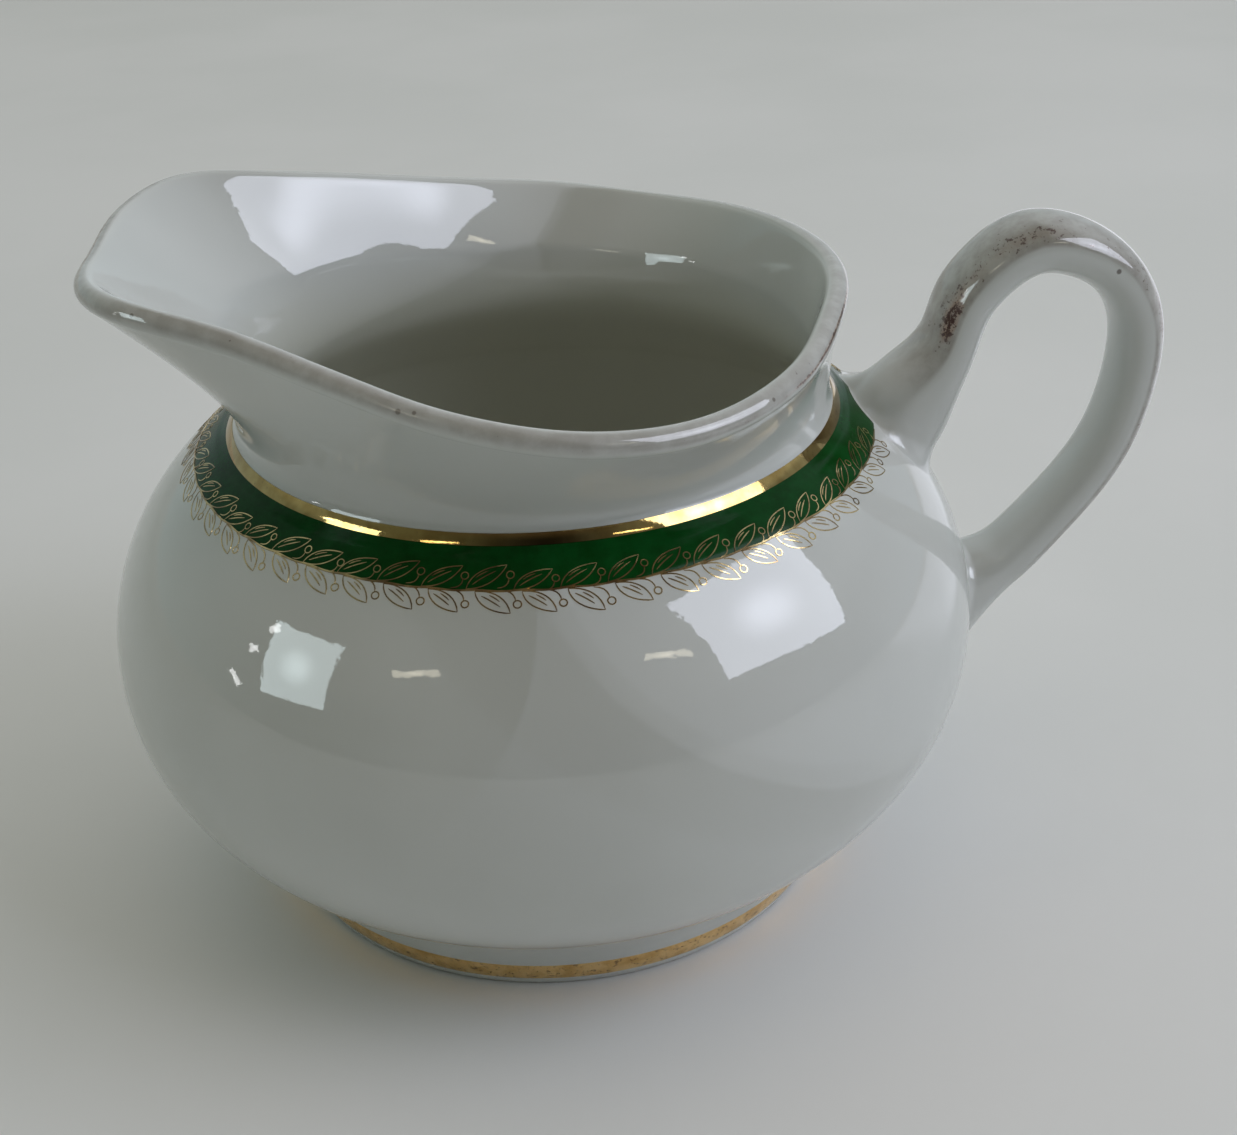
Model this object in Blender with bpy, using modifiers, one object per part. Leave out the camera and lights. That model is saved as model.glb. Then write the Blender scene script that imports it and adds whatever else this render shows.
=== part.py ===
"""Porcelain cream jug: turned belly with a pulled spout, a luted loop handle and fired-on decoration.

The jug stands on the XY plane, with the spout towards -X and the handle towards +X.
All dimensions below are in millimetres; meshes are written in metres.
"""

import math

import bmesh
import bpy
from mathutils import Vector

MM = 0.001
MERGE = 0.00001

# Belly: two half superellipses that share one widest ring
BELLY_RADIUS = 47.5
BELLY_Z = 29.4
BELLY_RISE = 32.8
BELLY_DROP = 30.9
FULLNESS = 2.07

# Walls, floor and foot ring
BELLY_WALL = 2.8
NECK_WALL = 2.4
FLOOR_Z = 5.6
FLOOR_FLAT = 18.0
CAVITY_START_Z = 8.2
CAVITY_TOP_Z = 50.6
UNDERSIDE_Z = 2.8
FOOT_INNER = 29.4
FOOT_OUTER = 31.3
FOOT_TOP_RADIUS = 33.1
FOOT_TOP_Z = 4.3
BELLY_START_Z = 7.8
FLOOR_CORNER = 3.0
UNDERSIDE_CORNER = 0.6
UNDERSIDE_REACH = 3.0

# Neck: where the turned part ends and the pulled spout begins
SHOULDER_TOP_Z = 53.0
NECK_RADIUS = 31.9
NECK_Z = 54.7
NECK_BLANK_HEIGHT = 12.0

# Corners of the curved joins: steps in radius and height from the point that each one belongs to
NECK_CORNER = (0.67, -1.17)
INNER_NECK_CORNER = (0.3, -2.4)
FOOT_TOP_CORNER = (0.3, -1.6)
FOOT_EDGE_CORNER = (0.5, 0.4)

# Rim of the pulled mouth: azimuth in degrees from the handle, radius and height
RIM = (
    (0, 33.5, 67.7),
    (25, 33.9, 67.3),
    (47, 36.5, 65.6),
    (66, 38.3, 64.6),
    (83, 38.9, 65.4),
    (101, 37.5, 67.3),
    (120, 36.5, 70.1),
    (138, 38.5, 72.5),
    (152, 44.0, 73.8),
    (164, 45.3, 73.2),
    (180, 44.7, 72.4),
)

# Curve of the neck: slopes where it leaves the shoulder and where it meets the rim
NECK_PINCH = 0.2
FLARE_PINCH = 0.35
NECK_CLIMB = 0.55
LIP_FLARE = 1.25
LIP_TURN = 1.6
LIP_CLIMB = 0.95
WALL_SETTLES = 0.15

# Handle: centreline in the XZ plane, with half thickness and half width at each point
HANDLE = (
    (37.6, 45.9, 4.95, 5.3),
    (40.6, 51.4, 5.0, 5.3),
    (44.4, 57.2, 3.0, 5.1),
    (46.9, 63.9, 2.9, 5.0),
    (53.3, 68.7, 3.0, 5.0),
    (61.5, 65.8, 2.8, 4.7),
    (65.4, 57.8, 2.6, 4.4),
    (63.0, 45.0, 2.5, 4.2),
    (55.0, 34.0, 2.7, 4.2),
    (50.2, 29.8, 3.4, 4.6),
    (44.0, 26.7, 7.4, 6.4),
)
HANDLE_SQUARENESS = 2.3
ROOT_END = 0.24
UPPER_SLIP = (0.0, 0.2)
LOWER_SLIP = (0.86, 1.0)
SLIP_GROW = -0.2

# Decoration: heights of its edges on the outer surface, and how far its layers stand off
STEM_Z = 51.1
BAND_TOP_Z = 53.7
GILT_TOP_Z = 54.65
LINE_GAP_Z = 0.1
FOOT_LINE = (1.15, 3.7)
RIM_LINE = (0.86, 0.99)
LEAVES = 53
UPPER_REACH = 1.33
LOWER_REACH = 1.71
STALK_SHARE = 0.3
LEAF_LEAN = 1.6
STROKE = (0.26, 0.78)
LAYER = 0.16
LAYER_GAP = 0.12
GAP = 0.3
SLIP = 0.5

# Mesh fineness
TURNS = 60
BELLY_STEPS = 13
CAVITY_STEPS = 10
CORNER_STEPS = 4
BAND_STEPS = 4
LEAF_STEPS = 4
RING_POINTS = 20
HANDLE_STATIONS = 36
ROOT_STATIONS = 10
SLIP_STATIONS = 8
STROKE_HALF_POINTS = 2
NECK_ROWS = (0.2, 0.4, 0.6, 0.8)
RIM_STEPS = 4
SLOPE_STEP = 0.01

PORCELAIN = ((0.78, 0.80, 0.78), 0.10, 0.0)
ENAMEL = ((0.010, 0.105, 0.045), 0.22, 0.0)
GOLD = ((0.83, 0.57, 0.22), 0.18, 1.0)
WORN_GOLD = ((0.42, 0.27, 0.17), 0.45, 0.6)


# ---------------------------------------------------------------- profile mathematics


def through(knots, at):
    """Smooth curve through knots (position, value...), evaluated at a position."""
    last = len(knots) - 1
    i = 0
    while i < last - 1 and knots[i + 1][0] < at:
        i += 1
    before = knots[max(i - 1, 0)]
    a = knots[i]
    b = knots[i + 1]
    after = knots[min(i + 2, last)]
    span = b[0] - a[0]
    s = (at - a[0]) / span
    values = []
    for k in range(1, len(a)):
        slope_a = (b[k] - before[k]) / (b[0] - before[0]) * span
        slope_b = (after[k] - a[k]) / (after[0] - a[0]) * span
        values.append(hermite(a[k], slope_a, b[k], slope_b, s))
    return values


def hermite(start, start_slope, end, end_slope, s):
    """Cubic from start to end with the given slopes over s from 0 to 1."""
    s2 = s * s
    s3 = s2 * s
    ends = (2 * s3 - 3 * s2 + 1) * start + (3 * s2 - 2 * s3) * end
    return ends + (s3 - 2 * s2 + s) * start_slope + (s3 - s2) * end_slope


def superellipse(z, radius, rise, drop):
    """Radius at height z of a belly with the given half height above and below its widest ring."""
    half = rise if z > BELLY_Z else drop
    share = min(abs(z - BELLY_Z) / half, 1.0)
    return radius * (1.0 - share**FULLNESS) ** (1.0 / FULLNESS)


def belly_radius(z):
    return superellipse(z, BELLY_RADIUS, BELLY_RISE, BELLY_DROP)


def cavity_radius(z):
    inner = BELLY_RADIUS - BELLY_WALL
    return superellipse(z, inner, BELLY_RISE - BELLY_WALL, BELLY_DROP - BELLY_WALL)


def arc(start, corner, end, steps):
    """Points of a rounded corner, without its start point."""
    points = []
    for i in range(1, steps + 1):
        s = i / steps
        a, b, c = (1 - s) ** 2, 2 * s * (1 - s), s * s
        r = a * start[0] + b * corner[0] + c * end[0]
        z = a * start[1] + b * corner[1] + c * end[1]
        points.append((r, z))
    return points


def shifted(point, step):
    return (point[0] + step[0], point[1] + step[1])


def spread(low, high, steps):
    """Heights from low to high, closer together at both ends."""
    middle = (low + high) / 2
    reach = (high - low) / 2
    return [middle - reach * math.cos(math.pi * i / steps) for i in range(steps + 1)]


def shoulder_turn():
    """The short concave turn from the shoulder up into the neck, bottom to top."""
    start = (belly_radius(SHOULDER_TOP_Z), SHOULDER_TOP_Z)
    end = (NECK_RADIUS, NECK_Z)
    return arc(start, shifted(end, NECK_CORNER), end, CORNER_STEPS)


def turned_outside():
    """Outer profile from the neck down to the foot's standing face."""
    points = [(NECK_RADIUS, NECK_Z)]
    points += reversed(shoulder_turn()[:-1])
    heights = spread(BELLY_START_Z, SHOULDER_TOP_Z, BELLY_STEPS)
    points += [(belly_radius(z), z) for z in reversed(heights)]
    foot_top = (FOOT_TOP_RADIUS, FOOT_TOP_Z)
    foot_edge = (FOOT_OUTER, 0.0)
    waist = shifted((FOOT_TOP_RADIUS, BELLY_START_Z), FOOT_TOP_CORNER)
    points += arc(points[-1], waist, foot_top, CORNER_STEPS - 1)
    points += arc(foot_top, shifted(foot_edge, FOOT_EDGE_CORNER), foot_edge, CORNER_STEPS)
    return points


def outside_point(z):
    """Radius and outward normal of the turned outside at height z."""
    profile = turned_outside()
    for (r0, z0), (r1, z1) in zip(profile, profile[1:]):
        if z1 <= z <= z0:
            s = (z0 - z) / (z0 - z1)
            length = math.hypot(r1 - r0, z1 - z0)
            return r0 + (r1 - r0) * s, ((z0 - z1) / length, (r1 - r0) / length)
    raise ValueError(z)


def cavity():
    """The inside, from the middle of the floor up to the neck."""
    inner_neck = NECK_RADIUS - NECK_WALL
    wall_foot = (cavity_radius(CAVITY_START_Z), CAVITY_START_Z)
    points = [(0.0, FLOOR_Z), (FLOOR_FLAT / 2, FLOOR_Z), (FLOOR_FLAT, FLOOR_Z)]
    points += arc(points[-1], (wall_foot[0] - FLOOR_CORNER, FLOOR_Z), wall_foot, CORNER_STEPS)
    heights = spread(CAVITY_START_Z, CAVITY_TOP_Z, CAVITY_STEPS)
    points += [(cavity_radius(z), z) for z in heights[1:]]
    neck = (inner_neck, NECK_Z)
    points += arc(points[-1], shifted(neck, INNER_NECK_CORNER), neck, CORNER_STEPS - 1)
    return points + neck_rows(inner_neck)


def rounded_rim():
    """The half circle over the top of the blank's neck, inside to outside."""
    half = NECK_WALL / 2
    middle = (NECK_RADIUS - half, NECK_Z + NECK_BLANK_HEIGHT - half)
    angles = [math.pi * (1 - i / RIM_STEPS) for i in range(RIM_STEPS + 1)]
    return [(middle[0] + half * math.cos(a), middle[1] + half * math.sin(a)) for a in angles]


def underside():
    """From the standing face's inner edge to the middle of the recessed underside."""
    edge = (FOOT_INNER, 0.0)
    corner = (FOOT_INNER - UNDERSIDE_CORNER, UNDERSIDE_Z)
    end = (FOOT_INNER - UNDERSIDE_REACH, UNDERSIDE_Z)
    points = [edge] + arc(edge, corner, end, CORNER_STEPS - 1)
    return points + [(FOOT_INNER / 2, UNDERSIDE_Z), (0.0, UNDERSIDE_Z)]


def body_profile():
    """The blank's closed profile, from the floor over the rim to the underside."""
    return cavity() + rounded_rim() + neck_rows(NECK_RADIUS)[::-1] + turned_outside() + underside()


def neck_rows(radius):
    """Points up the blank's straight neck, bottom to top."""
    return [(radius, NECK_Z + NECK_BLANK_HEIGHT * f) for f in NECK_ROWS]


def solid_profile(offset):
    """A filled jug whose outside stands off from the body by offset."""
    top = NECK_Z + NECK_BLANK_HEIGHT
    points = [(0.0, top), (NECK_RADIUS + offset, top)]
    points += neck_rows(NECK_RADIUS + offset)[::-1]
    points += stand_off(turned_outside(), offset)
    points += [(0.0, points[-1][1])]
    return points


def stand_off(profile, offset):
    """Move a top-to-bottom outer profile outwards along its normals."""
    moved = []
    for i, (r, z) in enumerate(profile):
        r0, z0 = profile[max(i - 1, 0)]
        r1, z1 = profile[min(i + 1, len(profile) - 1)]
        length = math.hypot(r1 - r0, z1 - z0)
        moved.append((r + offset * (z0 - z1) / length, z + offset * (r1 - r0) / length))
    return moved


# ---------------------------------------------------------------- the pulled mouth


def rim_at(azimuth):
    """Radius and height of the rim at an azimuth in radians."""
    degrees = abs(math.degrees(math.atan2(math.sin(azimuth), math.cos(azimuth))))
    first = (-RIM[1][0], *RIM[1][1:])
    last = (360 - RIM[-2][0], *RIM[-2][1:])
    return through((first, *RIM, last), degrees)


def mouth_point(azimuth, f):
    """Radius and height of the neck's outer surface, f running from 0 at the neck to 1 at the rim."""
    rim_r, rim_z = rim_at(azimuth)
    flare = rim_r - NECK_RADIUS
    climb = rim_z - NECK_Z
    inward = NECK_PINCH * climb + FLARE_PINCH * flare
    r = hermite(NECK_RADIUS, -inward, rim_r, LIP_FLARE * flare + LIP_TURN, f)
    z = hermite(NECK_Z, NECK_CLIMB * climb, rim_z, LIP_CLIMB * climb, f)
    return r, z


def pull(point):
    """Where a point of the turned blank goes when the mouth and spout are pulled."""
    if point.z <= NECK_Z * MM + MERGE:
        return point
    azimuth = math.atan2(point.y, point.x)
    radius = math.hypot(point.x, point.y) / MM
    depth = NECK_RADIUS - radius
    f = (point.z / MM - NECK_Z) / NECK_BLANK_HEIGHT
    r, z = mouth_point(azimuth, f)
    r0, z0 = mouth_point(azimuth, f - SLOPE_STEP)
    r1, z1 = mouth_point(azimuth, f + SLOPE_STEP)
    length = math.hypot(r1 - r0, z1 - z0)
    share = min(f / WALL_SETTLES, 1.0)
    r -= depth * (1 + share * ((z1 - z0) / length - 1))
    z += depth * share * (r1 - r0) / length
    return Vector((r * math.cos(azimuth) * MM, r * math.sin(azimuth) * MM, z * MM))


# ---------------------------------------------------------------- modelling helpers


def material(name, look):
    colour, roughness, metallic = look
    made = bpy.data.materials.new(name)
    made.use_nodes = True
    shader = made.node_tree.nodes["Principled BSDF"]
    shader.inputs["Base Color"].default_value = (*colour, 1.0)
    shader.inputs["Roughness"].default_value = roughness
    shader.inputs["Metallic"].default_value = metallic
    return made


def add_object(name, mesh, collection):
    made = bpy.data.objects.new(name, mesh)
    collection.objects.link(made)
    return made


def turned(name, profile, collection, steps=TURNS):
    """A profile in the XZ plane, given in millimetres, turned about Z."""
    mesh = bpy.data.meshes.new(name)
    points = [(r * MM, 0.0, z * MM) for r, z in profile]
    edges = [(i, i + 1) for i in range(len(points) - 1)]
    if profile[0][0] > 0.0:
        edges.append((len(points) - 1, 0))
    mesh.from_pydata(points, edges, [])
    made = add_object(name, mesh, collection)
    screw = made.modifiers.new("turn", "SCREW")
    screw.steps = steps
    screw.render_steps = steps
    screw.use_merge_vertices = True
    screw.merge_threshold = MERGE
    return made


def baked(made):
    """Replace an object's modifiers by their result."""
    graph = bpy.context.evaluated_depsgraph_get()
    mesh = bpy.data.meshes.new_from_object(made.evaluated_get(graph))
    made.modifiers.clear()
    made.data = mesh
    return made


def pulled(made):
    """Bake a turned blank and pull its mouth into the spout."""
    baked(made)
    for vertex in made.data.vertices:
        vertex.co = pull(vertex.co)
    return made


def loft(name, rings, collection):
    """A closed skin through rings of points in millimetres, flat at both ends."""
    build = bmesh.new()
    rows = [[build.verts.new(Vector(p) * MM) for p in ring] for ring in rings]
    count = len(rows[0])
    for row, following in zip(rows, rows[1:]):
        for i in range(count):
            j = (i + 1) % count
            build.faces.new((row[i], row[j], following[j], following[i]))
    build.faces.new(reversed(rows[0]))
    build.faces.new(rows[-1])
    bmesh.ops.recalc_face_normals(build, faces=build.faces)
    mesh = bpy.data.meshes.new(name)
    build.to_mesh(mesh)
    build.free()
    return add_object(name, mesh, collection)


def boolean(made, other, operation):
    step = made.modifiers.new(operation.lower(), "BOOLEAN")
    step.object = other
    step.operation = operation
    step.solver = "EXACT"


def finish(made, look, stand, sharp=40.0):
    """Give a sub-part its material, smooth shading and its parent."""
    made.data.materials.clear()
    made.data.materials.append(look)
    made.data.shade_smooth()
    made.data.set_sharp_from_angle(angle=math.radians(sharp))
    made.parent = stand


# ---------------------------------------------------------------- the handle


def handle_station(t):
    """Centre, tangent, half thickness and half width at t from 0 (upper root) to 1."""
    knots = [(i, *row) for i, row in enumerate(HANDLE)]
    last = len(HANDLE) - 1
    at = t * last
    x, z, thick, wide = through(knots, at)
    x1, z1 = through(knots, min(at + SLOPE_STEP, last))[:2]
    x0, z0 = through(knots, max(at - SLOPE_STEP, 0.0))[:2]
    length = math.hypot(x1 - x0, z1 - z0)
    return (x, z), ((x1 - x0) / length, (z1 - z0) / length), thick, wide


def section_point(station, angle, grow):
    """A point of the handle's rounded section, grown outwards; angle 0 faces away from the loop."""
    (x, z), (tx, tz), thick, wide = station
    c, s = math.cos(angle), math.sin(angle)
    power = 2.0 / HANDLE_SQUARENESS
    out = (thick + grow) * math.copysign(abs(c) ** power, c)
    side = (wide + grow) * math.copysign(abs(s) ** power, s)
    return (x - tz * out, side, z + tx * out)


def handle_rings(start, end, stations, grow=0.0):
    angles = [2 * math.pi * i / RING_POINTS for i in range(RING_POINTS)]
    rings = []
    for k in range(stations):
        station = handle_station(start + (end - start) * k / (stations - 1))
        rings.append([section_point(station, a, grow) for a in angles])
    return rings


def keep_out(name, offset, cutters):
    """A filled jug, grown by offset, that trims what is stuck onto the body."""
    made = pulled(turned(name, solid_profile(offset), cutters))
    hide(made)
    return made


def hide(made):
    made.hide_render = True
    made.display_type = "WIRE"


def build_handle(parts, cutters, look, stand):
    handle = loft("handle", handle_rings(0.0, 1.0, HANDLE_STATIONS), parts)
    boolean(handle, keep_out("handle_trim", 2 * GAP + SLIP, cutters), "DIFFERENCE")
    finish(handle, look, stand)


def build_slip(name, reach, parts, cutters, look, stand):
    """The layer of slip between one end of the handle and the body."""
    slip = loft(name, handle_rings(*reach, SLIP_STATIONS, grow=SLIP_GROW), parts)
    boolean(slip, keep_out(name + "_outer_face", GAP + SLIP, cutters), "INTERSECT")
    boolean(slip, keep_out(name + "_inner_face", GAP, cutters), "DIFFERENCE")
    finish(slip, look, stand)


# ---------------------------------------------------------------- body and decoration


def build_body(parts, look, stand):
    body = pulled(turned("jug_body", body_profile(), parts))
    finish(body, look, stand)


def layer_profile(low, high, offset, steps):
    """A thin layer on the turned outside between two heights, top to bottom on its outer face."""
    heights = [high + (low - high) * i / steps for i in range(steps + 1)]
    faces = []
    for lift in (offset + LAYER, offset):
        face = []
        for z in heights:
            r, (nr, nz) = outside_point(z)
            face.append((r + lift * nr, z + lift * nz))
        faces.append(face)
    return faces[0] + faces[1][::-1]


def build_band(parts, root, look, stand):
    profile = layer_profile(STEM_Z, BAND_TOP_Z - LINE_GAP_Z, LAYER_GAP, BAND_STEPS)
    band = turned("green_enamel_band", profile, parts)
    boolean(band, root, "DIFFERENCE")
    finish(band, look, stand)


def build_neck_line(parts, root, look, stand):
    line = turned("gilt_neck_line", layer_profile(BAND_TOP_Z, GILT_TOP_Z, LAYER_GAP, 2), parts)
    boolean(line, root, "DIFFERENCE")
    finish(line, look, stand)


def build_foot_line(parts, look, stand):
    line = turned("gilt_foot_line", layer_profile(*FOOT_LINE, LAYER_GAP, 1), parts)
    finish(line, look, stand)


def build_rim_line(parts, look, stand):
    """The gilding on the outer edge of the rim, which follows the pulled mouth."""
    low, high = (NECK_Z + NECK_BLANK_HEIGHT * f for f in RIM_LINE)
    inner = NECK_RADIUS + LAYER_GAP
    outer = inner + LAYER
    profile = [(outer, high), (outer, low), (inner, low), (inner, high)]
    finish(pulled(turned("gilt_rim_line", profile, parts)), look, stand)


def leaf_edge(phase):
    """Share of the wreath's full reach from its stem, at a phase from 0 to 1 along one repeat."""
    rise = math.sin(math.pi * phase**LEAF_LEAN)
    return STALK_SHARE + (1.0 - STALK_SHARE) * rise


def build_wreath(parts, root, look, stand):
    """A ring on the band's lower edge, with a leaf-shaped scallop for each repeat on both sides."""
    rings = []
    steps = LEAVES * LEAF_STEPS
    for k in range(steps):
        azimuth = 2 * math.pi * k / steps
        upper = leaf_edge(k / LEAF_STEPS % 1.0)
        lower = leaf_edge((k / LEAF_STEPS + 0.5) % 1.0)
        ring = []
        for lift in (2 * LAYER_GAP + 2 * LAYER, 2 * LAYER_GAP + LAYER):
            face = []
            for reach in (UPPER_REACH * upper, 0.0, -LOWER_REACH * lower):
                r, (nr, nz) = outside_point(STEM_Z + reach)
                r += lift * nr
                face.append((r * math.cos(azimuth), r * math.sin(azimuth), STEM_Z + reach + lift * nz))
            ring.append(face)
        rings.append(ring[0] + ring[1][::-1])
    wreath = loft_around("gilt_leaf_wreath", rings, parts)
    boolean(wreath, root, "DIFFERENCE")
    finish(wreath, look, stand)


def loft_around(name, rings, collection):
    """A skin through rings that come back to the first one."""
    made = loft(name, rings + rings[:1], collection)
    build = bmesh.new()
    build.from_mesh(made.data)
    caps = [face for face in build.faces if len(face.verts) > 4]
    bmesh.ops.delete(build, geom=caps, context="FACES_ONLY")
    bmesh.ops.remove_doubles(build, verts=build.verts, dist=MERGE)
    bmesh.ops.recalc_face_normals(build, faces=build.faces)
    build.to_mesh(made.data)
    build.free()
    return made


def build_handle_stroke(parts, look, stand):
    """The gold stroke along the outer face of the handle."""
    half = STROKE_HALF_POINTS
    angles = [2 * math.pi * i / RING_POINTS for i in range(-half, half + 1)]
    stations = round((HANDLE_STATIONS - 1) * (STROKE[1] - STROKE[0])) + 1
    first = round((HANDLE_STATIONS - 1) * STROKE[0])
    rings = []
    for k in range(first, first + stations):
        station = handle_station(k / (HANDLE_STATIONS - 1))
        over = [section_point(station, a, LAYER_GAP + LAYER) for a in angles]
        under = [section_point(station, a, LAYER_GAP) for a in reversed(angles)]
        rings.append(over + under)
    finish(loft("gilt_handle_stroke", rings, parts), look, stand)


# ---------------------------------------------------------------- assembly


def clear_scene():
    for old in list(bpy.data.objects):
        bpy.data.objects.remove(old)


def new_collection(name):
    made = bpy.data.collections.new(name)
    bpy.context.scene.collection.children.link(made)
    return made


def centre_on_footprint(stand, parts):
    """Put the origin under the middle of the whole jug, handle included."""
    graph = bpy.context.evaluated_depsgraph_get()
    xs = []
    for made in parts.objects:
        if made.type == "MESH":
            shown = made.evaluated_get(graph)
            xs += [vertex.co.x for vertex in shown.data.vertices]
    stand.location.x = -(min(xs) + max(xs)) / 2


def main():
    clear_scene()
    parts = new_collection("porcelain_cream_jug")
    cutters = new_collection("cutters")
    stand = add_object("jug_axis", None, parts)
    porcelain = material("glazed_porcelain", PORCELAIN)
    slip = material("fired_slip", PORCELAIN)
    enamel = material("green_enamel", ENAMEL)
    gold = material("burnished_gold", GOLD)
    worn = material("worn_gold", WORN_GOLD)
    root_rings = handle_rings(0.0, ROOT_END, ROOT_STATIONS, grow=GAP)
    root = loft("handle_root_clearance", root_rings, cutters)
    hide(root)
    build_body(parts, porcelain, stand)
    build_handle(parts, cutters, porcelain, stand)
    build_slip("upper_handle_slip", UPPER_SLIP, parts, cutters, slip, stand)
    build_slip("lower_handle_slip", LOWER_SLIP, parts, cutters, slip, stand)
    build_band(parts, root, enamel, stand)
    build_neck_line(parts, root, gold, stand)
    build_wreath(parts, root, gold, stand)
    build_foot_line(parts, gold, stand)
    build_rim_line(parts, worn, stand)
    build_handle_stroke(parts, worn, stand)
    for cutter in cutters.objects:
        cutter.parent = stand
    centre_on_footprint(stand, parts)


main()
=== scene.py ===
"""Looks of the porcelain cream jug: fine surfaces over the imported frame, materials, stage and camera.

The jug's lengths are in millimetres, in axes whose Z is its turning axis. The spout points to -X and the
handle to +X. Its meshes are written in metres in the frame's own place. Stage and lights are in metres.
"""

import math

import bpy
import numpy as np
from mathutils import Matrix, Vector
from mathutils.bvhtree import BVHTree


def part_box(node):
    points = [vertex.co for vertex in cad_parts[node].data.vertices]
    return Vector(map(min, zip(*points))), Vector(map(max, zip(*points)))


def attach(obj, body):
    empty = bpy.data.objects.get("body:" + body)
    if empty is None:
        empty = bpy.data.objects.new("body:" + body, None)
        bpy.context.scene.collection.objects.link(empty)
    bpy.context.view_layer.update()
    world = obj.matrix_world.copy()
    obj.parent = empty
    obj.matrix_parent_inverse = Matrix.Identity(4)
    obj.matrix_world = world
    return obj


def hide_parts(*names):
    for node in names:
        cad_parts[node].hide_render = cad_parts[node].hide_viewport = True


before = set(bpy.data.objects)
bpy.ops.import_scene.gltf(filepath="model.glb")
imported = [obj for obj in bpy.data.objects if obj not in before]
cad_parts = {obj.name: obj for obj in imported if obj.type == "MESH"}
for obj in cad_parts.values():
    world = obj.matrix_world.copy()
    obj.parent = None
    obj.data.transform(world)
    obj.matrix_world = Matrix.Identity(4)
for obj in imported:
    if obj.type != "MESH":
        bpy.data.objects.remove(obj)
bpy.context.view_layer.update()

MM = 0.001
FOOT_LOW, FOOT_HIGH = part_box("gilt_foot_line")
AXIS_X = (FOOT_LOW.x + FOOT_HIGH.x) / 2
RANDOM = np.random.default_rng(7)

# Belly: two half superellipses that share one widest ring
BELLY_RADIUS = 47.5
BELLY_Z = 29.4
BELLY_RISE = 32.8
BELLY_DROP = 30.9
FULLNESS = 2.07

# Walls, floor and foot ring
BELLY_WALL = 2.8
NECK_WALL = 2.4
FLOOR_Z = 5.6
FLOOR_FLAT = 18.0
FLOOR_CORNER = 3.0
CAVITY_START_Z = 8.2
CAVITY_TOP_Z = 50.6
UNDERSIDE_Z = 2.8
UNDERSIDE_CORNER = 0.6
UNDERSIDE_REACH = 3.0
FOOT_INNER = 29.4
FOOT_OUTER = 31.3
FOOT_TOP_RADIUS = 33.1
FOOT_TOP_Z = 4.3
BELLY_START_Z = 7.8
BARE_FOOT_Z = 0.35

# Neck, and how far the corners of the curved joins lie from its foot and from the foot ring's points
SHOULDER_TOP_Z = 53.0
NECK_RADIUS = 31.9
NECK_Z = 54.7
NECK_CORNER = (0.67, -1.17)
INNER_NECK_CORNER = (0.3, -2.4)
FOOT_TOP_CORNER = (0.3, -1.6)
FOOT_EDGE_CORNER = (0.5, 0.4)

# Rim of the pulled mouth: azimuth in degrees from the handle, radius and height
RIM = (
    (0, 33.5, 67.7),
    (25, 33.9, 67.3),
    (47, 36.5, 65.6),
    (66, 38.3, 64.6),
    (83, 38.9, 65.4),
    (101, 37.5, 67.3),
    (120, 36.5, 70.1),
    (138, 38.5, 72.5),
    (152, 44.0, 73.8),
    (164, 45.3, 73.2),
    (180, 44.7, 72.4),
)
RIM_SQUARENESS = 2.3
RIM_SOFTENED = 5.0

# Curve of the neck: slopes where it leaves the shoulder and where it meets the rim
NECK_PINCH = 0.2
FLARE_PINCH = 0.35
NECK_CLIMB = 0.55
LIP_FLARE = 1.25
LIP_TURN = 1.6
LIP_CLIMB = 0.95
WALL_SETTLES = 0.15
THROAT = (44.0, 60.0)
THROAT_ROUNDS = 70
THROAT_EASE = 0.25

# Handle: centreline in the XZ plane, with half thickness and half width at each point
HANDLE = (
    (37.6, 45.9, 4.95, 5.3),
    (40.6, 51.4, 5.0, 5.3),
    (44.4, 57.2, 3.0, 5.1),
    (46.9, 63.9, 2.9, 5.0),
    (53.3, 68.7, 3.0, 5.0),
    (61.5, 65.8, 2.8, 4.7),
    (65.4, 57.8, 2.6, 4.4),
    (63.0, 45.0, 2.5, 4.2),
    (55.0, 34.0, 2.7, 4.2),
    (50.2, 29.8, 3.4, 4.6),
    (44.0, 26.7, 7.4, 6.4),
)
HANDLE_SQUARENESS = 2.3

# Its smoothing and the step that finds its direction, as shares of the way to the next point; the stations by
# which it goes on inside the wall and the step along them; how far gold and enamel stop from its upper root
HANDLE_SOFTENED = 0.3
HANDLE_PROBE = 0.02
ROOT_SUNK = 3.0
STRIDE = 0.1
ROOT_CLEARANCE = 0.9

# Slip around the handle's ends: how far it runs over the body and how far up the handle, at eight angles
# round the section from its outer face
UPPER_SLIP = (
    (0.5, 3.4, 10.0, 4.5, 1.3, 2.0, 1.9, 0.5),
    (3.0, 10.5, 11.5, 6.0, 2.4, 3.2, 3.0, 1.4),
)
LOWER_SLIP = (
    (1.6, 1.4, 1.2, 1.0, 0.8, 1.0, 1.2, 1.4),
    (2.1, 1.8, 1.6, 1.3, 1.0, 1.3, 1.6, 1.8),
)

# Slip's surface: least height over the clay, share of its run that hugs the clay, rise there per length of
# run, and how deep its edge and its hidden side lie
SLIP_SKIN = 0.004
SLIP_HUG = 0.42
SLIP_RISE = 0.03
SLIP_SUNK = 0.05
SLIP_INSET = 0.3

# Decoration: heights on the shoulder and the foot, how far fired colour and gold stand off the glaze, what is
# left of that next to an edge, and how deep their hidden sides lie
STEM_Z = 51.1
BAND_TOP_Z = 53.75
GILT_TOP_Z = 54.65
FOOT_LINE = (1.15, 3.7)
ENAMEL_LIFT = 0.05
GILT_LIFT = 0.035
LAYER_EDGE = 0.75
SUNK = 0.06
NECK_LINE_LAP = 0.04
NECK_LINE_BULGE = 0.03

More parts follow.
